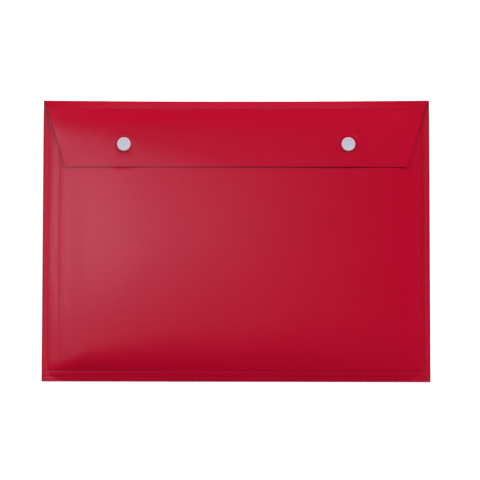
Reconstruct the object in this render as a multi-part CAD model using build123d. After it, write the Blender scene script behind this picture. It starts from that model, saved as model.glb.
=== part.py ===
from build123d import *
import os
from math import atan2, cos, degrees, hypot, sin

# Document wallet of polypropylene sheet, lying on its back with the flap pressed shut.
# X runs along the fold, Y points to the fold at the top, Z rises out of the front face.
# The origin is under the middle of the outline, on the surface that the back lies on.

# Outline and sheet
wallet_width = 330.0
wallet_height = 240.0
sheet = 0.5

# Pocket: welded flange, sloping gusset and crowned front panel
pocket_depth = 5.2
flange_width = 4.2
gusset_rise = 1.0
left_crease_inset = 14.0
right_crease_inset = 9.0
bottom_crease_inset = 9.0
bottom_crown_run = 40.0
mouth_inset = 9.4

# Flap: a spine strip between two creases, then a panel with slanted sides
spine_run = 7.0
spine_side_inset = 3.9
flap_drop = 57.9
flap_side_inset = 20.1
flap_corner_radius = 1.5

# Press studs
snap_spacing = 190.3
snap_to_flap_edge = 19.2
snap_seat_margin = 9.4
prong_radius = 1.0
prong_clearance = 0.05
punch_clearance = 0.15
tip_thickness = 0.3
tip_overlap = 0.25
tip_clearance = 0.1

cap_radius = 5.9
cap_edge = 0.5
cap_height = 1.3
cap_rim_radius = 4.9
cap_dish_radius = 3.9
cap_dish_depth = 0.3

socket_radius = 4.8
socket_ceiling = 0.5
socket_lip = 0.3
socket_corner = 0.3

stud_radius = 4.8
stud_base = 0.5
stud_neck_radius = 1.8
stud_neck = 0.35
bulb_radius = 2.15
bulb_height = 0.75
bulb_top_radius = 1.75
bulb_clearance = 0.3
lip_bite = 0.1
mating_gap = 0.15

backing_radius = 6.0
backing_edge = 0.35
backing_height = 0.8

# Levels and lines that follow from the sizes above
back_inside = sheet
front_under = back_inside + pocket_depth
front_top = front_under + sheet
stud_top = front_top + stud_base + stud_neck + bulb_height
socket_bottom = front_top + stud_base + mating_gap
socket_roof = stud_top + tip_clearance + tip_thickness
flap_under = socket_roof + socket_ceiling
flap_top = flap_under + sheet

left_edge = -wallet_width / 2
right_edge = wallet_width / 2
bottom_line = -wallet_height / 2 + sheet
back_crease_y = wallet_height / 2 - sheet
flap_crease_y = back_crease_y - spine_run
mouth_y = wallet_height / 2 - mouth_inset
flap_edge_y = wallet_height / 2 - flap_drop
snap_y = flap_edge_y + snap_to_flap_edge

spine_rise = flap_under - back_inside
spine_length = hypot(spine_run, spine_rise)
spine_angle = atan2(spine_rise, spine_run)
spine_degrees = degrees(spine_angle)
flap_crease_width = wallet_width - 2 * spine_side_inset
quarter_turn = 90
half_turn = 180

left_flange_x = left_edge + flange_width
right_flange_x = right_edge - flange_width
bottom_flange_y = -wallet_height / 2 + flange_width
left_crease_x = left_edge + left_crease_inset
right_crease_x = right_edge - right_crease_inset
bottom_crease_y = -wallet_height / 2 + bottom_crease_inset
flat_half_width = snap_spacing / 2 + backing_radius + snap_seat_margin

prong_bore = prong_radius + prong_clearance
punched_hole = prong_radius + punch_clearance
tip_radius = prong_radius + tip_overlap

across = Plane.XZ.offset(-mouth_y)
along = Plane.YZ.offset(left_edge)


def plan_block(*corners):
    # An upright block over a plan outline, tall enough to cut any sheet of the pocket
    outline = make_face(Polyline(*corners, close=True))
    return extrude(outline, amount=flap_top)


def slab(low_x, low_y, high_x, high_y):
    # A rectangle in plan as a block
    return plan_block((low_x, low_y), (high_x, low_y), (high_x, high_y), (low_x, high_y))


def space_under_front():
    # What lies below the front sheet: the lower of a profile across the wallet and one along it
    flange_level = back_inside
    crease_level = back_inside + gusset_rise
    crown_left = (-flat_half_width, front_under)
    crown_right = (flat_half_width, front_under)
    crown_bottom = (bottom_crease_y + bottom_crown_run, front_under)
    left_crease = (left_crease_x, crease_level)
    right_crease = (right_crease_x, crease_level)
    bottom_crease = (bottom_crease_y, crease_level)
    across_profile = make_face(
        [
            Polyline(
                left_crease,
                (left_flange_x, flange_level),
                (left_edge, flange_level),
                (left_edge, 0),
                (right_edge, 0),
                (right_edge, flange_level),
                (right_flange_x, flange_level),
                right_crease,
            ),
            TangentArc(crown_right, right_crease, tangent=(1, 0)),
            Line(crown_right, crown_left),
            TangentArc(crown_left, left_crease, tangent=(-1, 0)),
        ]
    )
    along_profile = make_face(
        [
            Polyline(
                bottom_crease,
                (bottom_flange_y, flange_level),
                (bottom_line, flange_level),
                (bottom_line, 0),
                (mouth_y, 0),
                (mouth_y, front_under),
                crown_bottom,
            ),
            TangentArc(crown_bottom, bottom_crease, tangent=(-1, 0)),
        ]
    )
    across_block = extrude(across * across_profile, amount=mouth_y - bottom_line)
    along_block = extrude(along * along_profile, amount=wallet_width)
    return across_block & along_block


def front_sheet():
    # The whole front sheet, one thickness measured upwards, before it is parted at its creases
    below = space_under_front()
    return Pos(0, 0, sheet) * below - below


def front_pieces():
    # The front sheet parted at its score lines into panel, gussets and flanges
    whole = front_sheet()
    regions = {
        "front_panel": slab(left_crease_x, bottom_crease_y, right_crease_x, mouth_y),
        "left_gusset": plan_block(
            (left_flange_x, bottom_flange_y),
            (left_crease_x, bottom_crease_y),
            (left_crease_x, mouth_y),
            (left_flange_x, mouth_y),
        ),
        "right_gusset": plan_block(
            (right_flange_x, bottom_flange_y),
            (right_crease_x, bottom_crease_y),
            (right_crease_x, mouth_y),
            (right_flange_x, mouth_y),
        ),
        "bottom_gusset": plan_block(
            (left_flange_x, bottom_flange_y),
            (right_flange_x, bottom_flange_y),
            (right_crease_x, bottom_crease_y),
            (left_crease_x, bottom_crease_y),
        ),
        "left_weld_flange": slab(left_edge, bottom_line, left_flange_x, mouth_y),
        "right_weld_flange": slab(right_flange_x, bottom_line, right_edge, mouth_y),
        "bottom_flange": slab(left_flange_x, bottom_line, right_flange_x, bottom_flange_y),
    }
    pieces = {name: whole & region for name, region in regions.items()}
    pieces["front_panel"] -= snap_holes()
    return pieces


def snap_places():
    return {"left": (-snap_spacing / 2, snap_y, 0), "right": (snap_spacing / 2, snap_y, 0)}


def snap_holes():
    # The holes punched for the prongs, as long pins through every sheet
    pin = extrude(Circle(punched_hole), amount=flap_top + sheet)
    return Compound([Pos(place) * pin for place in snap_places().values()])


def back_panel():
    panel = Rectangle(wallet_width, back_crease_y - bottom_line, align=(Align.CENTER, Align.MIN))
    return extrude(Pos(0, bottom_line, 0) * panel, amount=sheet)


def fold_rod(centre_y, centre_z, start_angle, sweep, width):
    # The outside of a folded sheet: a round sector of one sheet thickness about the inner edge
    centre = (centre_y, centre_z)
    rim = CenterArc(centre, sheet, start_angle, sweep)
    sector = make_face([rim, Line(centre, rim @ 0), Line(centre, rim @ 1)])
    return extrude(Plane.YZ.offset(-width / 2) * sector, amount=width)


def flap_spine():
    # The strip that climbs from the back's crease to the flap's crease
    outward = (0, sin(spine_angle), cos(spine_angle))
    face_plane = Plane(origin=(0, back_crease_y, back_inside), x_dir=(-1, 0, 0), z_dir=outward)
    upper_half = wallet_width / 2 - spine_side_inset
    strip = make_face(
        Polyline(
            (left_edge, 0),
            (right_edge, 0),
            (upper_half, spine_length),
            (-upper_half, spine_length),
            close=True,
        )
    )
    return extrude(face_plane * strip, amount=sheet)


def flap_panel():
    upper_half = wallet_width / 2 - spine_side_inset
    lower_half = wallet_width / 2 - flap_side_inset
    outline = make_face(
        Polyline(
            (-upper_half, flap_crease_y),
            (-lower_half, flap_edge_y),
            (lower_half, flap_edge_y),
            (upper_half, flap_crease_y),
            close=True,
        )
    )
    lower_corners = outline.vertices().group_by(Axis.Y)[0]
    outline = fillet(lower_corners, flap_corner_radius)
    return extrude(Pos(0, 0, flap_under) * outline, amount=sheet) - snap_holes()


def turned(*lines):
    # A piece turned about the snap's axis from a half section in radius and height
    return revolve(Plane.XZ * make_face(lines), Axis.Z)


def snap_cap():
    # Outer head with a rounded rim and a dished middle, and a prong headed over in the socket
    rim_top = flap_top + cap_height
    dish = rim_top - cap_dish_depth
    shoulder = EllipticalCenterArc(
        (cap_rim_radius, flap_top + cap_edge),
        cap_radius - cap_rim_radius,
        cap_height - cap_edge,
        arc_size=quarter_turn,
    )
    dish_wall = TangentArc((cap_rim_radius, rim_top), (cap_dish_radius, dish), tangent=(-1, 0))
    return turned(
        shoulder,
        dish_wall,
        Polyline(
            (cap_dish_radius, dish),
            (0, dish),
            (0, socket_roof - tip_thickness),
            (tip_radius, socket_roof - tip_thickness),
            (tip_radius, socket_roof),
            (prong_radius, socket_roof),
            (prong_radius, flap_top),
            (cap_radius, flap_top),
            (cap_radius, flap_top + cap_edge),
        ),
    )


def snap_socket():
    # Ring under the flap, with a roof for the prong and a lip that closes round the stud's neck
    cavity_radius = bulb_radius + bulb_clearance
    mouth_radius = bulb_radius - lip_bite
    lip_top = socket_bottom + socket_lip
    corner_low = (socket_radius - socket_corner, socket_bottom)
    corner_high = (socket_radius, socket_bottom + socket_corner)
    return turned(
        Polyline(
            corner_high,
            (socket_radius, flap_under),
            (prong_bore, flap_under),
            (prong_bore, socket_roof),
            (cavity_radius, socket_roof),
            (cavity_radius, lip_top),
            (mouth_radius, socket_bottom),
            corner_low,
        ),
        RadiusArc(corner_low, corner_high, -socket_corner),
    )


def snap_stud():
    # Flat base on the front panel, a neck, and a bulb with a recess for the headed prong
    base_top = front_top + stud_base
    neck_top = base_top + stud_neck
    recess = stud_top - tip_thickness - tip_clearance
    recess_radius = tip_radius + tip_clearance
    return turned(
        Polyline(
            (bulb_top_radius, stud_top),
            (recess_radius, stud_top),
            (recess_radius, recess),
            (prong_bore, recess),
            (prong_bore, front_top),
            (stud_radius, front_top),
            (stud_radius, base_top),
            (stud_neck_radius, base_top),
            (stud_neck_radius, neck_top),
        ),
        ThreePointArc(
            (stud_neck_radius, neck_top), (bulb_radius, neck_top + bulb_height / 2), (bulb_top_radius, stud_top)
        ),
    )


def stud_backing():
    # Thin head inside the pocket, whose prong goes up through the front panel and the stud
    head_bottom = front_under - backing_height
    edge_bottom = front_under - backing_edge
    recess = stud_top - tip_thickness - tip_clearance
    return turned(
        Polyline(
            (backing_radius, edge_bottom),
            (backing_radius, front_under),
            (prong_radius, front_under),
            (prong_radius, recess),
            (tip_radius, recess),
            (tip_radius, recess + tip_thickness),
            (0, recess + tip_thickness),
            (0, head_bottom),
        ),
        TangentArc((0, head_bottom), (backing_radius, edge_bottom), tangent=(1, 0)),
    )


nodes = {
    "back_panel": back_panel(),
    "bottom_fold": fold_rod(bottom_line, back_inside, quarter_turn, half_turn, wallet_width),
    "spine_crease": fold_rod(
        back_crease_y, back_inside, -quarter_turn, half_turn - spine_degrees, wallet_width
    ),
    "flap_spine": flap_spine(),
    "flap_crease": fold_rod(
        flap_crease_y, flap_under, quarter_turn - spine_degrees, spine_degrees, flap_crease_width
    ),
    "flap_panel": flap_panel(),
}
nodes.update(front_pieces())

snap_parts = {
    "snap_cap": snap_cap(),
    "snap_socket": snap_socket(),
    "snap_stud": snap_stud(),
    "stud_backing": stud_backing(),
}
for side, place in snap_places().items():
    for name, piece in snap_parts.items():
        nodes[f"{name}_{side}"] = Pos(place) * piece

os.makedirs("parts", exist_ok=True)
for name, solid in nodes.items():
    solid.label = name
    export_step(solid, f"parts/{name}.step")

print(f"spine angle {spine_degrees:.2f} degrees, spine length {spine_length:.2f} mm")
print(f"flap underside {flap_under:.2f} mm, flap crease at y {flap_crease_y:.2f} mm")
print(f"{len(nodes)} nodes")
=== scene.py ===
import bpy
import bmesh
from math import hypot, pi, radians, tan
import numpy as np
from mathutils import Euler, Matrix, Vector


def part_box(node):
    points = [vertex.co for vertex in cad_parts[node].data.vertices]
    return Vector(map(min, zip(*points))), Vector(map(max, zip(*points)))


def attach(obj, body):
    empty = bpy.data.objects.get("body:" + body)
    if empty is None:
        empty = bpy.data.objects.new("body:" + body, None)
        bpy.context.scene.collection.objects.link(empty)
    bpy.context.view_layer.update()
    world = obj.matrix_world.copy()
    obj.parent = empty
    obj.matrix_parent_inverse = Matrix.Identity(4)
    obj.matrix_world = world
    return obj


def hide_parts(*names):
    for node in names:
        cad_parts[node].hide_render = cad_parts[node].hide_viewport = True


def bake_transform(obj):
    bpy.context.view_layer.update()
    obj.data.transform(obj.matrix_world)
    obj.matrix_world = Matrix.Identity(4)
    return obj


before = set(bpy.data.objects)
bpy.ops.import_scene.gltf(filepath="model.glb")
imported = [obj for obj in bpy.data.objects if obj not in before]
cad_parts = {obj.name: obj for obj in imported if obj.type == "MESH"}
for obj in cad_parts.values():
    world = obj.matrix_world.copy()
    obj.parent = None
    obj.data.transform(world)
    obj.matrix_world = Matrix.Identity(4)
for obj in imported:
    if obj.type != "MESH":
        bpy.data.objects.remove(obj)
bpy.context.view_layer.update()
mm = 0.001
mergeWithin = 1e-7
print("frame loaded:", len(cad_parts), "nodes")

# Lines and levels of the wallet, read from the frame
backLow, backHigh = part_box("back_panel")
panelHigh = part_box("front_panel")[1]
leftLow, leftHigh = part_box("left_gusset")
rightLow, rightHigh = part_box("right_gusset")
footLow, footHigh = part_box("bottom_gusset")
flapLow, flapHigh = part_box("flap_panel")
capLow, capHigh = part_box("snap_cap_right")
studLow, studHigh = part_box("snap_stud_right")
socketLow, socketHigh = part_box("snap_socket_right")
sheet = backHigh.z - backLow.z
leftEdge, rightEdge = backLow.x, backHigh.x
bottomLine, backCreaseY = backLow.y, backHigh.y
leftFlangeX, leftCreaseX = leftLow.x, leftHigh.x
rightFlangeX, rightCreaseX = rightHigh.x, rightLow.x
bottomFlangeY, bottomCreaseY = footLow.y, footHigh.y
mouthY, frontTop = panelHigh.y, panelHigh.z
flapCreaseY, flapEdgeY = flapHigh.y, flapLow.y
flapUnder, flapTop = flapLow.z, flapHigh.z
flapLength = flapCreaseY - flapEdgeY
spineRun = backCreaseY - flapCreaseY
snapX = (capLow.x + capHigh.x) / 2
snapY = (capLow.y + capHigh.y) / 2
capRadius = (capHigh.x - capLow.x) / 2
pocketDepth = frontTop - 2 * sheet
gussetRise = leftHigh.z - 2 * sheet


# Evenly spread values from 0 to 1, drawn together towards both ends by a sine
def spread(count, pull=0.8):
    s = np.linspace(0, 1, count)
    return s - pull * np.sin(2 * pi * s) / (2 * pi)


# 0 below the start, 1 above the end, an S between them
def ease(value, start, end):
    t = np.clip((value - start) / (end - start), 0, 1)
    return t * t * (3 - 2 * t)


# A soft furrow: a bell curve of the distance from its line
def furrow(distance, width):
    return np.exp(-(distance / width) ** 2)


# Corner numbers of the four-sided faces of a grid, anticlockwise where columns run right and rows run up
def gridFaces(numbers):
    corners = [numbers[:-1, :-1], numbers[:-1, 1:], numbers[1:, 1:], numbers[1:, :-1]]
    return np.stack(corners, -1).reshape(-1, 4)


def layMesh(name, points, faces, material, shades=None, sharpness=32):
    mesh = bpy.data.meshes.new(name)
    mesh.from_pydata(points.tolist(), [], faces.tolist())
    for label, values in (shades or {}).items():
        layer = mesh.attributes.new(label, "FLOAT", "POINT")
        layer.data.foreach_set("value", np.ravel(values).astype(np.float32))
    edit = bmesh.new()
    edit.from_mesh(mesh)
    bmesh.ops.remove_doubles(edit, verts=edit.verts, dist=mergeWithin)
    edit.to_mesh(mesh)
    edit.free()
    mesh.polygons.foreach_set("use_smooth", np.ones(len(mesh.polygons), dtype=bool))
    mesh.set_sharp_from_angle(angle=radians(sharpness))
    mesh.materials.append(material)
    piece = bpy.data.objects.new(name, mesh)
    bpy.context.scene.collection.objects.link(piece)
    return piece


def easeEdges(piece, width, segments=2, sharpness=50):
    bevel = piece.modifiers.new("softEdge", "BEVEL")
    bevel.width = width
    bevel.segments = segments
    bevel.limit_method = "ANGLE"
    bevel.angle_limit = radians(sharpness)
    return piece


# A closed sheet: the upper grid, the lower grid turned over, and a wall round their common border
def sheetPiece(name, upper, lower, material, shades):
    rows, cols = upper.shape[:2]
    top = np.arange(rows * cols).reshape(rows, cols)
    low = top + rows * cols
    rim = np.concatenate([top[0, :-1], top[:-1, -1], top[-1, :0:-1], top[:0:-1, 0]])
    after = np.roll(rim, -1)
    wall = np.stack([rim + rows * cols, after + rows * cols, after, rim], -1)
    faces = np.concatenate([gridFaces(top), gridFaces(low)[:, ::-1], wall])
    points = np.concatenate([upper.reshape(-1, 3), lower.reshape(-1, 3)])
    doubled = {label: np.tile(np.ravel(values), 2) for label, values in shades.items()}
    return layMesh(name, points, faces, material, doubled)


# A point of a four-cornered patch: straight blends between the corners (a b below, d c above)
def patch(corners, u, v):
    a, b, c, d = [np.array(corner) for corner in corners]
    u, v = u[None, :, None], v[:, None, None]
    return (1 - u) * (1 - v) * a + u * (1 - v) * b + u * v * c + (1 - u) * v * d


# A section in radius and height turned about the upright line at centre; poles close when doubles merge
def turnedPiece(name, section, centre, material, shades, closed=False, turns=96):
    angle = np.linspace(0, 2 * pi, turns, endpoint=False)
    radius, height = section[:, 0, None], section[:, 1, None]
    points = np.stack(
        [centre[0] + radius * np.cos(angle), centre[1] + radius * np.sin(angle), height + 0 * angle], -1
    )
    numbers = np.arange(len(section) * turns).reshape(len(section), turns)
    numbers = np.concatenate([numbers, numbers[:, :1]], 1)
    if closed:
        numbers = np.concatenate([numbers, numbers[:1]], 0)
    spun = {label: np.repeat(values, turns) for label, values in shades.items()}
    return layMesh(name, points.reshape(-1, 3), gridFaces(numbers), material, spun, sharpness=40)


# Corners of a section rounded: each gives way to a parabola between two points at its radius along the sides
def roundSection(corners, steps=6):
    corners = np.array(corners, dtype=float)
    place, reach = corners[:, :2], corners[:, 2:3]
    before, after = np.roll(place, 1, 0) - place, np.roll(place, -1, 0) - place
    start = place + before / np.linalg.norm(before, axis=1, keepdims=True) * reach
    end = place + after / np.linalg.norm(after, axis=1, keepdims=True) * reach
    t = np.linspace(0, 1, steps)[None, :, None]
    curve = (1 - t) ** 2 * start[:, None] + 2 * t * (1 - t) * place[:, None] + t ** 2 * end[:, None]
    return curve.reshape(-1, 2)


# Shader maths: a wire is one output socket, and an expression on wires adds the nodes for it
class Wire:
    def __init__(self, tree, socket=None):
        self.tree = tree
        self.socket = socket

    def add(self, kind, settings, sockets, out=0):
        node = self.tree.nodes.new(kind)
        for key, value in settings.items():
            setattr(node, key, value)
        for key, value in sockets.items():
            if isinstance(value, Wire):
                value.feed(node.inputs[key])
            else:
                node.inputs[key].default_value = value
        return Wire(self.tree, node.outputs[out])

    # Lead this value into a socket of a node
    def feed(self, target):
        self.tree.links.new(self.socket, target)

    def maths(self, operation, first, second):
        return self.add("ShaderNodeMath", {"operation": operation}, {0: first, 1: second})

    def __add__(self, other):
        return self.maths("ADD", self, other)

    def __radd__(self, other):
        return self.maths("ADD", other, self)

    def __sub__(self, other):
        return self.maths("SUBTRACT", self, other)

    def __rsub__(self, other):
        return self.maths("SUBTRACT", other, self)

    def __mul__(self, other):
        return self.maths("MULTIPLY", self, other)

    def __rmul__(self, other):
        return self.maths("MULTIPLY", other, self)

    # 0 to 1 as this value goes from low to high
    def span(self, low, high):
        return self.add("ShaderNodeMapRange", {}, {"Value": self, "From Min": low, "From Max": high})

    # A colour between two others, by a share
    def between(self, share, first, second):
        sockets = {"Factor": share, "A": first, "B": second}
        return self.add("ShaderNodeMix", {"data_type": "RGBA"}, sockets, out="Result")

    # A value that is laid on the points of the mesh
    def shade(self, label):
        return self.add("ShaderNodeAttribute", {"attribute_name": label}, {}, out="Fac")

    def noise(self, place, scale, detail):
        sockets = {"Vector": place, "Scale": scale, "Detail": detail}
        return self.add("ShaderNodeTexNoise", {}, sockets, out="Fac")


# A material with its constants: its Principled node, a wire for new nodes, and Object coordinates
def newFinish(name, constants):
    finish = bpy.data.materials.new(name)
    finish.use_nodes = True
    shader = finish.node_tree.nodes["Principled BSDF"]
    for key, value in constants.items():
        shader.inputs[key].default_value = value
    wire = Wire(finish.node_tree)
    place = wire.add("ShaderNodeTexCoord", {}, {}, out="Object")
    return finish, shader, wire, place


def addGrain(shader, wire, place, look):
    height = wire.noise(place, look["grainScale"], detail=1.0)
    sockets = {"Strength": look["grainStrength"], "Distance": look["grainDepth"], "Height": height}
    wire.add("ShaderNodeBump", {}, sockets, out="Normal").feed(shader.inputs["Normal"])


sheetLook = {
    "constants": {"IOR": 1.49},
    "red": (0.430, 0.0005, 0.0205, 1.0),
    "deepRed": (0.390, 0.0004, 0.0180, 1.0),
    "scorePaintedShade": (0.30, 0.0004, 0.0150, 1.0),
    "cutPaintedShade": (0.24, 0.0004, 0.0130, 1.0),
    "scoreShadeShare": 0.8,
    "cutShadeShare": 0.9,
    "cloudScale": 16.0,
    "roughness": 0.286,
    "cloudDull": 0.02,
    "scoreDull": 0.10,
    "cutDull": 0.12,
    "weldDull": 0.16,
    "grainScale": 2600.0,
    "grainStrength": 0.35,
    "grainDepth": 0.010 * mm,
}


# Dyed polypropylene sheet: uneven pigment, painted shade on scores, folds and cut edges, duller welds, a fine
# rolled grain
def makeSheetFinish(look):
    finish, shader, wire, place = newFinish("satinSheet", look["constants"])
    cloud = wire.noise(place, look["cloudScale"], detail=3.0)
    score, cut, weld = [wire.shade(label) for label in ("score", "cut", "weld")]
    base = wire.between(cloud, look["deepRed"], look["red"])
    # Painted shade: darker red in the score furrows, on the folds, along the strip's line and round the snap
    # caps
    base = wire.between(score * look["scoreShadeShare"], base, look["scorePaintedShade"])
    # Painted shade: darker red along the cut edges, on the folds and round the snap caps
    base = wire.between(cut * look["cutShadeShare"], base, look["cutPaintedShade"])
    base.feed(shader.inputs["Base Color"])
    dull = look["roughness"] + (cloud - 0.5) * look["cloudDull"]
    dull = dull + score * look["scoreDull"] + cut * look["cutDull"] + weld * look["weldDull"]
    dull.feed(shader.inputs["Roughness"])
    addGrain(shader, wire, place, look)
    return finish


snapLook = {
    "constants": {"IOR": 1.49},
    "rimWhiteWithRedReflection": (0.76, 0.42, 0.50, 1.0),
    "dishPaintedShade": (0.45, 0.49, 0.56, 1.0),
    "cloudScale": 260.0,
    "cloudShare": 0.15,
    "roughness": 0.30,
    "dishDull": 0.12,
    "cloudDull": 0.08,
    "grainScale": 3200.0,
    "grainStrength": 0.25,
    "grainDepth": 0.008 * mm,
}


# Moulded white plastic, its rim painted pink as a reflection of the red sheet: a trace of cloudiness, painted
# bluish-grey shade in the hollows, faintly frosted
def makeSnapFinish(look):
    finish, shader, wire, place = newFinish("snapPlastic", look["constants"])
    cloud = wire.noise(place, look["cloudScale"], detail=2.0)
    dish = wire.shade("dish")
    base = wire.between(dish + (cloud - 0.5) * look["cloudShare"], look["rimWhiteWithRedReflection"], look["dishPaintedShade"])
    base.feed(shader.inputs["Base Color"])
    dull = look["roughness"] + dish * look["dishDull"] + (cloud - 0.5) * look["cloudDull"]
    dull.feed(shader.inputs["Roughness"])
    addGrain(shader, wire, place, look)
    return finish


satinSheet = makeSheetFinish(sheetLook)
snapPlastic = makeSnapFinish(snapLook)
print("finishes made")


# Hand a finished piece to the frame: what it rides on and what it stands for
def mount(piece, body, slot, *nodes):
    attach(piece, body)
    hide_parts(*nodes)
    return piece


pocket = {
    "left": {"levels": (0.0, 2.2 * mm), "bulge": 0.35, "run": 29.5 * mm, "power": 2.0},
    "right": {"levels": (0.0, gussetRise), "bulge": 0.0, "run": 30.0 * mm, "power": 2.0},
    "bottom": {"levels": (1.0 * mm, 2.0 * mm), "bulge": 0.2, "run": 42.0 * mm, "power": 2.8},
    "footShrink": 0.45,
    "shrinkFrom": (30.0 * mm, 140.0 * mm),
    "footGrow": 0.45,
    "growFrom": (-20.0 * mm, 110.0 * mm),
    "corners": (3.0, 2.2),
    "cornersFrom": (-60.0 * mm, 60.0 * mm),
    "scoreDepth": 0.14 * mm,
    "scoreWidth": 0.55 * mm,
    "leftShares": (0.15, 0.2),
    "leftFade": 45.0 * mm,
    "dent": (-154.6 * mm, -20.6 * mm, 2.2 * mm, 0.28 * mm),
    "inside": (0.2 * mm, 1.6 * mm),
    "wave": 0.03 * mm,
    "waveTurns": (41, 17, 53, 23, 1.3),
    "crown": 2.75 * mm,
    "crownY": 62.0 * mm,
    "crownRun": 304.0 * mm,
    "crownHalf": 153.0 * mm,
    "crownFoot": 0.8,
    "mouthDip": (22.0 * mm, 2.0 * mm),
    "seat": (6.5 * mm, 22.0 * mm),
    "sink": 0.3,
    "weldEdge": 0.6 * mm,
    "edgeShadeWidth": 1.0 * mm,
}


# How far one side pulls the front sheet down: a flange that may climb, a gusset between its two levels that
# may bulge, then a power curve that runs out level. Distance is measured inwards from the outline.
def sideDrop(distance, flange, crease, side, reach=1.0):
    low, high = side["levels"]
    t = np.clip((distance - flange) / (crease - flange), 0, 1)
    gusset = low + (high - low) * (t + side["bulge"] * t * (1 - t))
    rest = np.clip(1 - (distance - crease) / (side["run"] * reach), 0, 1)
    crown = pocketDepth - (pocketDepth - high) * rest ** side["power"]
    strip = low * np.clip(distance / flange, 0, 1)
    return pocketDepth - np.where(distance < flange, strip, np.where(distance < crease, gusset, crown))


# Nearness to the score lines, which cross at the corners; the left ones are faint and fade out at the foot
def scoreShade(x, y):
    shade = np.zeros_like(x)
    fading = ease(y - bottomCreaseY, 0, pocket["leftFade"])
    for line, share in zip((leftFlangeX, leftCreaseX), pocket["leftShares"]):
        shade = np.maximum(shade, share * fading * furrow(x - line, pocket["scoreWidth"]))
    for line in (rightFlangeX, rightCreaseX):
        shade = np.maximum(shade, furrow(x - line, pocket["scoreWidth"]))
    for line in (bottomFlangeY, bottomCreaseY):
        shade = np.maximum(shade, furrow(y - line, pocket["scoreWidth"]))
    return shade


# Underside of the front sheet: the three sides' drops joined by a power mean, so that corners are round, the
# right one more so; the bottom's slope is shorter at the left and longer at the right. On that come a crown
# under the flap's edge, a slow wave of the stiff sheet and a seat round each stud, less a dip at the mouth, a
# dent in the left gusset and the score furrows.
def frontUnder(x, y):
    left = sideDrop(x - leftEdge, leftFlangeX - leftEdge, leftCreaseX - leftEdge, pocket["left"])
    right = sideDrop(rightEdge - x, rightEdge - rightFlangeX, rightEdge - rightCreaseX, pocket["right"])
    shrink = pocket["footShrink"] * ease(-x, *pocket["shrinkFrom"])
    grow = pocket["footGrow"] * ease(x, *pocket["growFrom"])
    foot = sideDrop(
        y - bottomLine, bottomFlangeY - bottomLine, bottomCreaseY - bottomLine,
        pocket["bottom"], 1 - shrink + grow,
    )
    leftPower, rightPower = pocket["corners"]
    power = leftPower + (rightPower - leftPower) * ease(x, *pocket["cornersFrom"])
    drop = (left ** power + right ** power + foot ** power) ** (1 / power)
    height = np.maximum(pocketDepth - drop, 0)
    inside = ease(height, *pocket["inside"])
    dentX, dentY, dentRadius, dentDepth = pocket["dent"]
    dent = dentDepth * np.exp(-((x - dentX) ** 2 + (y - dentY) ** 2) / dentRadius ** 2)
    firstX, firstY, secondY, secondX, phase = pocket["waveTurns"]
    wave = np.sin(x * firstX + y * firstY) + np.sin(y * secondY - x * secondX + phase)
    run = np.where(y > pocket["crownY"], mouthY - pocket["crownY"], pocket["crownRun"])
    crown = pocket["crown"] * np.clip(1 - ((y - pocket["crownY"]) / run) ** 2, 0, 1)
    crown = crown * np.clip(1 - np.abs(x / pocket["crownHalf"]) ** 4, 0, 1)
    crown = crown * ease(foot, pocket["crownFoot"] * pocketDepth, 0) + pocket["wave"] * wave * inside
    for side in (-snapX, snapX):
        crown = crown * ease(np.hypot(x - side, y - snapY), *pocket["seat"])
    dipRun, dipDepth = pocket["mouthDip"]
    dip = dipDepth * np.clip(1 - (mouthY - y) / dipRun, 0, 1) ** 2
    score = pocket["scoreDepth"] * scoreShade(x, y)
    return sheet + np.maximum(height + crown - dip * inside - dent - score, -pocket["sink"] * sheet)


# One field of the front sheet between its score lines
def frontField(name, node, corners, colCount, rowCount, pull=0.8):
    plan = patch(corners, spread(colCount, pull), spread(rowCount, pull))
    x, y = plan[..., 0], plan[..., 1]
    under = frontUnder(x, y)
    border = np.minimum(np.minimum(x - leftEdge, rightEdge - x), mouthY - y)
    edge = pocket["weldEdge"]
    weld = ease(leftFlangeX - x, -edge, edge) + ease(x - rightFlangeX, -edge, edge)
    # Painted shade: darker red in the score furrows and along the cut edges; the welds are only duller
    shades = {"score": scoreShade(x, y), "cut": furrow(border, pocket["edgeShadeWidth"]), "weld": weld}
    lower = np.stack([x, y, under], -1)
    upper = np.stack([x, y, under + sheet], -1)
    piece = sheetPiece(name, upper, lower, satinSheet, shades)
    return mount(piece, "wallet", "red_sheet", node)


leftFoot = (leftFlangeX, bottomFlangeY)
rightFoot = (rightFlangeX, bottomFlangeY)
leftInner = (leftCreaseX, bottomCreaseY)
rightInner = (rightCreaseX, bottomCreaseY)
leftWeldFoot = (leftFlangeX, bottomLine)
rightWeldFoot = (rightFlangeX, bottomLine)
leftWeldTop = (leftFlangeX, mouthY)
rightWeldTop = (rightFlangeX, mouthY)
leftMouth = (leftCreaseX, mouthY)
rightMouth = (rightCreaseX, mouthY)
frontField("frontPanel", "front_panel", (leftInner, rightInner, rightMouth, leftMouth), 190, 150, 0.86)
frontField("leftGusset", "left_gusset", (leftFoot, leftInner, leftMouth, leftWeldTop), 30, 170)
frontField("rightGusset", "right_gusset", (rightInner, rightFoot, rightWeldTop, rightMouth), 20, 150)
frontField("bottomGusset", "bottom_gusset", (leftFoot, rightFoot, rightInner, leftInner), 170, 20)
frontField(
    "leftFlange", "left_weld_flange",
    ((leftEdge, bottomLine), leftWeldFoot, leftWeldTop, (leftEdge, mouthY)), 16, 150, 0.9,
)
frontField(
    "rightFlange", "right_weld_flange",
    (rightWeldFoot, (rightEdge, bottomLine), (rightEdge, mouthY), rightWeldTop), 16, 150, 0.9,
)
frontField("bottomFlange", "bottom_flange", (leftWeldFoot, rightWeldFoot, rightFoot, leftFoot), 170, 14)
print("front sheet laid")

back = {
    "bow": 0.9 * mm,
    "bowFrom": 0.5,
    "dish": 0.10 * mm,
    "edgeShadeWidth": 0.7 * mm,
    "pull": 0.6,
}


# How far the top fold draws in: a parabola across the width
def foldBow(x):
    return back["bow"] * (1 - (x / rightEdge) ** 2)


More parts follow.
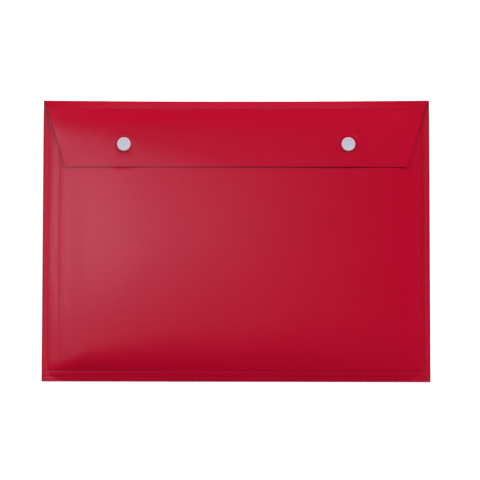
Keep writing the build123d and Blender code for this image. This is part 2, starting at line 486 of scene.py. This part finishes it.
# Flat sheet whose top end follows the fold's bow; the inside is faintly dished between the welds
def backPiece():
    u, v = spread(110, back["pull"])[None, :], spread(90, back["pull"])[:, None]
    x = leftEdge + (rightEdge - leftEdge) * u + 0 * v
    y = bottomLine + (backCreaseY - bottomLine) * v + 0 * u
    y = y - foldBow(x) * ease(v, back["bowFrom"], 1)
    toSides = np.minimum(x - leftEdge, rightEdge - x)
    toEnds = np.minimum(y - bottomLine, backCreaseY - y)
    # Painted shade: darker red along the fold and the cut edges
    shades = {
        "score": furrow(backCreaseY - y - foldBow(x), pocket["scoreWidth"]),
        "cut": furrow(np.minimum(toSides, toEnds), back["edgeShadeWidth"]),
    }
    lower = np.stack([x, y, 0 * x], -1)
    upper = np.stack([x, y, sheet - back["dish"] * np.sin(pi * u) * np.sin(pi * v)], -1)
    return sheetPiece("backSheet", upper, lower, satinSheet, shades)


mount(backPiece(), "wallet", "red_sheet", "back_panel")

fold = {"rows": 15, "cutShadeLevel": 0.6, "edgeShadeWidth": 0.8 * mm}


# Folded sheet: a round sector about the fold's inner line, whose y and z and two angles are given for each x;
# angles are turned from +Y towards +Z
def foldSheet(x, centreY, centreZ, startAngle, endAngle):
    share = np.linspace(0, 1, fold["rows"])[:, None]
    x = x + 0 * share
    angle = startAngle + (endAngle - startAngle) * share + 0 * x
    outer = np.stack([x, centreY + sheet * np.cos(angle), centreZ + sheet * np.sin(angle)], -1)
    inner = np.stack([x, centreY + 0 * x, centreZ + 0 * x], -1)
    # Painted shade: the whole fold is darkened as score shade and partly as cut shade, fully at its ends
    cut = np.maximum(fold["cutShadeLevel"], furrow(rightEdge - abs(x), fold["edgeShadeWidth"]))
    return outer, inner, {"score": 1 + 0 * x, "cut": cut}


# Stretches of sheet that follow each other, joined row by row into one piece
def joinedPiece(name, *stretches):
    outer, inner = [np.concatenate([stretch[k] for stretch in stretches]) for k in (0, 1)]
    shades = {}
    for label in ("score", "cut"):
        shades[label] = np.concatenate([stretch[2][label] for stretch in stretches])
    return sheetPiece(name, outer, inner, satinSheet, shades)


across = spread(110, 0.5)[None, :]
x = rightEdge * (2 * across - 1)
bottomFold = joinedPiece("bottomFold", foldSheet(x, bottomLine, sheet, 1.5 * pi, 0.5 * pi))
mount(bottomFold, "wallet", "red_sheet", "bottom_fold")

flap = {
    "tilt": 3.3,
    "bend": 3.3,
    "bendFrom": (-153.9 * mm, 96.5 * mm),
    "bendTo": (10.3 * mm, 60.0 * mm),
    "bendWidth": 7.5 * mm,
    "bendFade": 15.0 * mm,
    "seat": (6.5 * mm, 12.0 * mm),
    "leftDroop": (100.0 * mm, 3.9 * mm),
    "rightDroop": (75.0 * mm, 5.0 * mm),
    "lip": (13.0 * mm, 0.2 * mm),
    "lipGrows": (20.0 * mm, 100.0 * mm),
    "lipEnds": (118.0 * mm, 145.0 * mm),
    "leftLip": (14.0 * mm, 0.45 * mm),
    "leftLipFades": (34.0 * mm, 25.0 * mm),
    "rest": 0.25 * mm,
    "clearance": 0.08 * mm,
    "shoulder": (20.0 * mm, 1.8 * mm),
    "ring": (0.5 * mm, 1.0 * mm),
    "ringDepth": 0.12 * mm,
    "ringScoreShade": 1.4,
    "ringCutShade": 0.8,
    "foldPaintedShade": (0.2, 0.4 * mm),
    "edgePaintedShade": (0.3, 0.6 * mm),
    "edgeEase": 0.12 * mm,
    "sideSlant": 16.2 * mm,
    "cornerRadius": 0.8 * mm,
    "band": 6.0 * mm,
    "fineReach": 9.0 * mm,
    "coarseFrom": 9.2 * mm,
    "tailGap": 0.2 * mm,
}
upperHalf = flapHigh.x
lowerHalf = upperHalf - flap["sideSlant"]


# 0 up to the start and growing as a parabola to 1 at one end of the flap
def endShare(x, start):
    return np.clip((x - start) / (upperHalf - start), 0, 1) ** 2


# How far the flap hangs down towards its two ends
def flapDroop(x):
    (leftStart, leftDepth), (rightStart, rightDepth) = flap["leftDroop"], flap["rightDroop"]
    return leftDepth * endShare(-x, leftStart) + rightDepth * endShare(x, rightStart)


# How far the flap's fold is rounded off below the plane of the flap; the ends lie flat
def flapShoulder(x, y):
    run, depth = flap["shoulder"]
    ends = endShare(-x, flap["leftDroop"][0]) + endShare(x, flap["rightDroop"][0])
    return depth * (1 - ends) * np.clip(1 - (flapCreaseY - y) / run, 0, 1) ** 2


# Distance below the slanting line along which the flap bends, rounded off to nothing above it
def bendReach(x, y):
    (fromX, fromY), (toX, toY) = flap["bendFrom"], flap["bendTo"]
    length = hypot(toX - fromX, toY - fromY)
    below = ((toY - fromY) * (x - fromX) - (toX - fromX) * (y - fromY)) / length
    return 0.5 * (below + np.sqrt(below ** 2 + flap["bendWidth"] ** 2))


# Nearness to the ring that each snap's cap presses into the flap; the ring is dented and painted with shade
def ringShade(x, y):
    beyond, width = flap["ring"]
    return furrow(np.hypot(np.abs(x) - snapX, y - snapY) - capRadius - beyond, width)


# Height of the flap's underside: it climbs from its rounded shoulder over the snaps, bends down towards the
# lower left corner, droops at both ends and curls a little at the left edge and at the right of the lower one;
# where that would cut into the front sheet it rests just above it, and each snap presses it level
def flapUnderside(x, y):
    climbing = flapUnder + tan(radians(flap["tilt"])) * (snapY - y)
    held = bendReach(-snapX, snapY) * ease(-x, 0, snapX)
    bent = tan(radians(flap["bend"])) * (bendReach(x, y) - held) * ease(flapCreaseY - y, 0, flap["bendFade"])
    lipWidth, lipDepth = flap["lip"]
    lipDepth = lipDepth * ease(x, *flap["lipGrows"]) - lipDepth * ease(x, *flap["lipEnds"])
    curled = lipDepth * np.clip(1 - (y - flapEdgeY) / lipWidth, 0, 1) ** 2
    leftWidth, leftDepth = flap["leftLip"]
    fromFold, fromFoot = flap["leftLipFades"]
    fromLeft = x + upperHalf - flap["sideSlant"] * (flapCreaseY - y) / flapLength
    curled = curled + (
        leftDepth * np.clip(1 - fromLeft / leftWidth, 0, 1) ** 2
        * ease(flapCreaseY - y, 0, fromFold) * ease(y - flapEdgeY, 0, fromFoot)
    )
    height = climbing - bent - curled - flapShoulder(x, y) - flapDroop(x)
    beneath = frontUnder(x, np.minimum(y, mouthY)) + sheet + flap["clearance"]
    height = 0.5 * (height + beneath + np.sqrt((height - beneath) ** 2 + flap["rest"] ** 2))
    for side in (-snapX, snapX):
        away = np.hypot(x - side, y - snapY)
        height = flapUnder + (height - flapUnder) * ease(away, *flap["seat"])
    return height - flap["ringDepth"] * ringShade(x, y)


# The flap: rows run down from the fold, its sides slant in, and its two lower corners are rounded
def flapSheet(u, rows):
    toEdge = flapLength - rows
    cut = np.clip(flap["cornerRadius"] - toEdge, 0, None)
    inset = flap["cornerRadius"] - np.sqrt(flap["cornerRadius"] ** 2 - cut ** 2)
    half = upperHalf + (lowerHalf - upperHalf) * rows / flapLength - inset
    x = -half * (2 * u - 1)
    y = flapCreaseY - rows + 0 * x
    under = flapUnderside(x, y)
    border = np.minimum(half - abs(x), toEdge)
    # Painted shade: round each snap cap, along the fold at the top and along the flap's cut edges
    foldShare, foldWidth = flap["foldPaintedShade"]
    edgeShare, edgeWidth = flap["edgePaintedShade"]
    shades = {
        "score": flap["ringScoreShade"] * ringShade(x, y) + foldShare * furrow(rows, foldWidth),
        "cut": edgeShare * furrow(border, edgeWidth) + flap["ringCutShade"] * ringShade(x, y),
    }
    y = y - foldBow(x) * (1 - ease(rows, 0, flapCreaseY - snapY))
    return np.stack([x, y, under + sheet], -1), np.stack([x, y, under], -1), shades


# The flap below its bending band, with rows and columns closer together round the snaps
def flapPiece():
    down = flapCreaseY - snapY
    finer = flap["fineReach"] * np.linspace(-1, 1, 49)
    tail = flapLength - flap["cornerRadius"] * (1 - np.sin(np.linspace(0, 0.5 * pi, 9)))
    rows = np.linspace(flap["band"], flapLength, 58)
    rows = rows[(np.abs(rows - down) > flap["coarseFrom"]) & (rows < tail[0] - flap["tailGap"])]
    rows = np.sort(np.concatenate([rows, down + finer, tail]))[:, None]
    snapU = 0.5 + 0.5 * snapX / (upperHalf + (lowerHalf - upperHalf) * down / flapLength)
    finerU = finer / (2 * upperHalf)
    u = spread(150)
    u = u[np.abs(np.abs(u - 0.5) - snapU + 0.5) > flap["coarseFrom"] / (2 * upperHalf)]
    u = np.sort(np.concatenate([u, snapU + finerU, 1 - snapU + finerU]))[None, :]
    return joinedPiece("flapSheet", flapSheet(u, rows))


mount(easeEdges(flapPiece(), flap["edgeEase"]), "flap", "red_sheet", "flap_panel")

spine = {
    "bands": (0.25, 0.7),
    "hollow": 0.06 * mm,
    "line": (0.80, 0.32),
    "lineWidth": 0.7 * mm,
    "paintedShadeLevels": (0.3, 0.7),
    "edgeShadeWidth": 0.8 * mm,
}


# Height of the fold between strip and flap, where the flap starts
def flapCreaseZ(x):
    return flapUnderside(x, flapCreaseY + 0 * x)


# How steeply the strip climbs to that fold
def spineLean(x):
    return np.arctan2(flapCreaseZ(x) - sheet, spineRun)


# The narrow strip that climbs from the back's fold to the flap's fold, bowed with them and faintly hollow,
# with painted shade all over it and darker painted shade along a curved line on it; v is the share of the way
def stripSheet(u, v):
    half = rightEdge + (upperHalf - rightEdge) * v
    x = -half * (2 * u - 1)
    lean = spineLean(x)
    y = backCreaseY - foldBow(x) - spineRun * v
    inner = np.stack([x, y, sheet + (flapCreaseZ(x) - sheet) * v], -1)
    hollow = spine["hollow"] * np.sin(pi * v)
    outer = inner + (sheet - hollow)[..., None] * np.stack([0 * x, np.sin(lean), np.cos(lean)], -1)
    lineMiddle, lineCurve = spine["line"]
    line = (v - lineMiddle + lineCurve * (x / rightEdge) ** 2) * spineRun
    least, more = spine["paintedShadeLevels"]
    shades = {
        "score": least + more * furrow(line, spine["lineWidth"]),
        "cut": furrow(half - abs(x), spine["edgeShadeWidth"]),
    }
    return outer, inner, shades


# The strip's middle is stiff; what bends at each fold is a band that takes in the strip's end beside it
lowBand, highBand = spine["bands"]
spineStrip = joinedPiece("spineStrip", stripSheet(across, np.linspace(lowBand, highBand, 18)[:, None]))
mount(spineStrip, "spine", "red_sheet", "flap_spine")

x = -rightEdge * (2 * across - 1)
spineFold = joinedPiece(
    "spineFold",
    foldSheet(x, backCreaseY - foldBow(x), sheet, -0.5 * pi, 0.5 * pi - spineLean(x)),
    stripSheet(across, np.linspace(0, lowBand, 10)[1:, None]),
)
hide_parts("spine_crease")
bandTop = sheet + lowBand * (flapCreaseZ(x).min() - sheet)
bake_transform(spineFold)

x = -upperHalf * (2 * across - 1)
flapFold = joinedPiece(
    "flapFold",
    stripSheet(across, np.linspace(highBand, 1, 12)[:-1, None]),
    foldSheet(x, flapCreaseY - foldBow(x), flapCreaseZ(x), 0.5 * pi - spineLean(x), 0.5 * pi),
    flapSheet(across, np.linspace(0, flap["band"], 16)[1:, None]),
)
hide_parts("flap_crease")
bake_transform(flapFold)
print("flap hung")

snap = {
    "rimRadius": capRadius - 1.0 * mm,
    "dishRadius": capRadius - 2.0 * mm,
    "dishDepth": 0.3 * mm,
    "capHollow": (4.0 * mm, 4.6 * mm),
    "prong": 1.0 * mm,
    "tip": 1.25 * mm,
    "tipThickness": 0.3 * mm,
    "socketRadius": (socketHigh.x - socketLow.x) / 2,
    "socketRoof": 0.5 * mm,
    "socketCavity": 2.45 * mm,
    "socketMouth": 2.05 * mm,
    "socketLip": 0.3 * mm,
    "socketHollow": (2.0 * mm, 2.6 * mm),
    "studRadius": (studHigh.x - studLow.x) / 2,
    "studBase": 0.5 * mm,
    "studNeck": 1.8 * mm,
    "studHollow": (1.3 * mm, 1.9 * mm),
    "hiddenShare": 0.5,
    "bulb": 2.15 * mm,
    "backingRadius": 6.0 * mm,
    "backingEdge": 0.35 * mm,
    "backingHeight": 0.8 * mm,
    "bore": 1.05 * mm,
}


# Share of painted shade in a hollow: 1 inside the first radius and 0 beyond the second
def hollowPaintedShade(section, radii):
    inner, outer = radii
    return ease(-section[:, 0], -outer, -inner)


# The four turned parts of a press stud; each row of a section is radius, height and corner radius
def pressStud(side, x):
    centre = (x, snapY)
    rimTop, dishZ = capHigh.z, capHigh.z - snap["dishDepth"]
    roof = socketHigh.z - snap["socketRoof"]
    tipLow = roof - snap["tipThickness"]
    section = roundSection(
        [
            (0, tipLow, 0),
            (snap["tip"], tipLow, 0.1 * mm),
            (snap["tip"], roof, 0.05 * mm),
            (snap["prong"], roof, 0),
            (snap["prong"], flapTop, 0),
            (capRadius - 0.02 * mm, flapTop, 0.08 * mm),
            (capRadius, flapTop + 0.3 * mm, 0.15 * mm),
            (capRadius - 0.15 * mm, rimTop - 0.35 * mm, 0.32 * mm),
            (snap["rimRadius"] + 0.15 * mm, rimTop, 0.35 * mm),
            (snap["rimRadius"] - 0.4 * mm, rimTop, 0.35 * mm),
            (snap["dishRadius"], dishZ, 0.3 * mm),
            (0, dishZ + 0.04 * mm, 0),
        ]
    )
    # Painted grey shade in the cap's dish, only above the flap
    dish = hollowPaintedShade(section, snap["capHollow"]) * (section[:, 1] > flapTop)
    cap = turnedPiece("snapCap" + side, section, centre, snapPlastic, {"dish": dish})
    mount(cap, "flap", "white_snap", "snap_cap_" + side.lower())

    low, high = socketLow.z, socketHigh.z
    section = roundSection(
        [
            (snap["socketRadius"], high, 0),
            (snap["bore"], high, 0),
            (snap["bore"], roof, 0.05 * mm),
            (snap["socketCavity"], roof, 0.15 * mm),
            (snap["socketCavity"], low + snap["socketLip"], 0.1 * mm),
            (snap["socketMouth"], low, 0.12 * mm),
            (snap["socketRadius"] - 1.4 * mm, low, 0.15 * mm),
            (snap["socketRadius"] - 1.2 * mm, low + 0.15 * mm, 0.1 * mm),
            (snap["socketRadius"], low + 0.15 * mm, 0.3 * mm),
        ]
    )
    # The socket's hidden hollow gets half a share of painted shade
    dish = snap["hiddenShare"] * hollowPaintedShade(section, snap["socketHollow"])
    socket = turnedPiece("snapSocket" + side, section, centre, snapPlastic, {"dish": dish}, closed=True)
    mount(socket, "flap", "white_snap", "snap_socket_" + side.lower())

    baseTop, top = studLow.z + snap["studBase"], studHigh.z
    recess = top - snap["tipThickness"] - 0.1 * mm
    section = roundSection(
        [
            (snap["bore"], studLow.z, 0),
            (snap["studRadius"], studLow.z, 0.05 * mm),
            (snap["studRadius"], baseTop, 0.22 * mm),
            (snap["studNeck"] + 0.9 * mm, baseTop, 0.1 * mm),
            (snap["studNeck"], baseTop, 0.15 * mm),
            (snap["studNeck"], baseTop + 0.3 * mm, 0.08 * mm),
            (snap["bulb"], baseTop + 0.65 * mm, 0.22 * mm),
            (snap["bulb"], top - 0.25 * mm, 0.15 * mm),
            (snap["tip"] + 0.5 * mm, top, 0.15 * mm),
            (snap["tip"] + 0.1 * mm, top, 0.06 * mm),
            (snap["tip"] + 0.1 * mm, recess, 0.05 * mm),
            (snap["bore"], recess, 0),
        ]
    )
    # The stud's hidden hollow gets half a share of painted shade
    dish = snap["hiddenShare"] * hollowPaintedShade(section, snap["studHollow"])
    stud = turnedPiece("snapStud" + side, section, centre, snapPlastic, {"dish": dish}, closed=True)
    mount(stud, "wallet", "white_snap", "snap_stud_" + side.lower())

    under = frontTop - sheet
    section = roundSection(
        [
            (0, under - snap["backingHeight"], 0),
            (snap["backingRadius"] * 0.6, under - snap["backingHeight"] + 0.12 * mm, 1.2 * mm),
            (snap["backingRadius"], under - snap["backingEdge"], 0.1 * mm),
            (snap["backingRadius"], under, 0.05 * mm),
            (snap["prong"], under, 0),
            (snap["prong"], recess, 0),
            (snap["tip"], recess, 0.05 * mm),
            (snap["tip"], recess + snap["tipThickness"], 0.1 * mm),
            (0, recess + snap["tipThickness"], 0),
        ]
    )
    backing = turnedPiece("studBacking" + side, section, centre, snapPlastic, {"dish": 0 * section[:, 0]})
    mount(backing, "wallet", "white_snap", "stud_backing_" + side.lower())


pressStud("Left", -snapX)
pressStud("Right", snapX)
print("press studs turned")

floorLook = {
    "half": 12.0,
    "drop": 0.02 * mm,
    "tones": ((0.93, 0.93, 0.93, 1.0), (0.95, 0.95, 0.95, 1.0)),
    "cloudScale": 3.0,
    "constants": {
        "IOR": 1.3,
        "Roughness": 0.85,
        "Emission Color": (1.0, 1.0, 1.0, 1.0),
        "Emission Strength": 0.35,
    },
}


# Plain pale floor with the faintest unevenness of tone and a glow
def makeFloor(look):
    finish, shader, wire, place = newFinish("paleFloor", look["constants"])
    cloud = wire.noise(place, look["cloudScale"], detail=2.0)
    wire.between(cloud, *look["tones"]).feed(shader.inputs["Base Color"])
    reach = np.array([-look["half"], look["half"]])
    x, y = np.meshgrid(reach, reach)
    points = np.stack([x, y, 0 * x - look["drop"]], -1).reshape(-1, 3)
    floor = layMesh("floor", points, gridFaces(np.arange(4).reshape(2, 2)), finish)


makeFloor(floorLook)

# Panels without gloss only brighten; the bluish strips are what the satin sheet mirrors
panels = [
    {"name": "leftKey", "place": (-2.44, 2.44, 2.89), "size": (1.6, 1.6), "power": 75.0},
    {"name": "rightKey", "place": (2.44, 2.44, 2.89), "size": (1.6, 1.6), "power": 155.0},
    {"name": "leftFill", "place": (-4.00, 0.40, 2.05), "size": (2.0, 1.6), "power": 40.0},
    {"name": "rightFill", "place": (4.00, 0.40, 2.05), "size": (2.0, 1.6), "power": 34.0},
    {"name": "ceiling", "place": (0.0, 0.4, 2.2), "size": (4.0, 4.0), "power": 12.0},
]
stripTint = (0.82, 0.78, 1.0)
stripDepth = 0.212
strips = [
    {"name": "farStrip", "place": (-1.0, 0.105, 1.3), "size": (0.4, stripDepth), "power": 1.60},
    {"name": "midStrip", "place": (-0.65, 0.100, 1.3), "size": (0.3, stripDepth), "power": 0.75},
    {"name": "nearStrip", "place": (-0.4, 0.073, 1.3), "size": (0.2, stripDepth), "power": 0.85},
    {"name": "dimStrip", "place": (-0.2, 0.073, 1.3), "size": (0.2, stripDepth), "power": 0.32},
    {"name": "faintStrip", "place": (0.0, 0.073, 1.3), "size": (0.2, stripDepth), "power": 0.13},
]


# A soft panel that looks at the middle of the wallet
def hangLight(settings, tint, gloss):
    lamp = bpy.data.lights.new(settings["name"], "AREA")
    lamp.shape = "RECTANGLE"
    lamp.size, lamp.size_y = settings["size"]
    lamp.energy = settings["power"]
    lamp.color = tint
    holder = bpy.data.objects.new(settings["name"], lamp)
    holder.location = settings["place"]
    holder.rotation_euler = Vector(settings["place"]).to_track_quat("Z", "Y").to_euler()
    holder.visible_glossy = gloss
    bpy.context.scene.collection.objects.link(holder)


for settings in panels:
    hangLight(settings, (1.0, 1.0, 1.0), False)
for settings in strips:
    hangLight(settings, stripTint, True)

room = {
    "walls": (0.05, 0.05, 0.05, 1.0),
    "ceiling": (0.01, 0.01, 0.01, 1.0),
    "wallTop": 0.45,
    "ceilingFrom": 0.75,
}


# Dim walls under a darker ceiling: brightness falls as a direction rises, so only low views mirror the walls
def makeRoom():
    sky = bpy.data.worlds.new("softRoom")
    sky.use_nodes = True
    wire = Wire(sky.node_tree)
    direction = wire.add("ShaderNodeTexCoord", {}, {}, out="Generated")
    rise = wire.add("ShaderNodeSeparateXYZ", {}, {0: direction}, out="Z")
    share = rise.span(room["wallTop"], room["ceilingFrom"])
    tone = wire.between(share, room["walls"], room["ceiling"])
    tone.feed(sky.node_tree.nodes["Background"].inputs["Color"])
    bpy.context.scene.world = sky


makeRoom()
bpy.context.scene.view_settings.view_transform = "Standard"

view = {
    "lens": 85.0,
    "sensor": 36.0,
    "distance": 0.967,
    "turn": (2.152, 0.468, 0.08),
    "aim": (3.42 * mm, 0.41 * mm, 0.0),
}
lens = bpy.data.cameras.new("camera")
lens.lens = view["lens"]
lens.sensor_width = view["sensor"]
camera = bpy.data.objects.new("camera", lens)
lean = Euler([radians(a) for a in view["turn"]])
camera.rotation_euler = lean
camera.location = Vector(view["aim"]) + lean.to_matrix() @ Vector((0, 0, view["distance"]))
bpy.context.scene.collection.objects.link(camera)
bpy.context.scene.camera = camera
print("stage, lights and camera set")
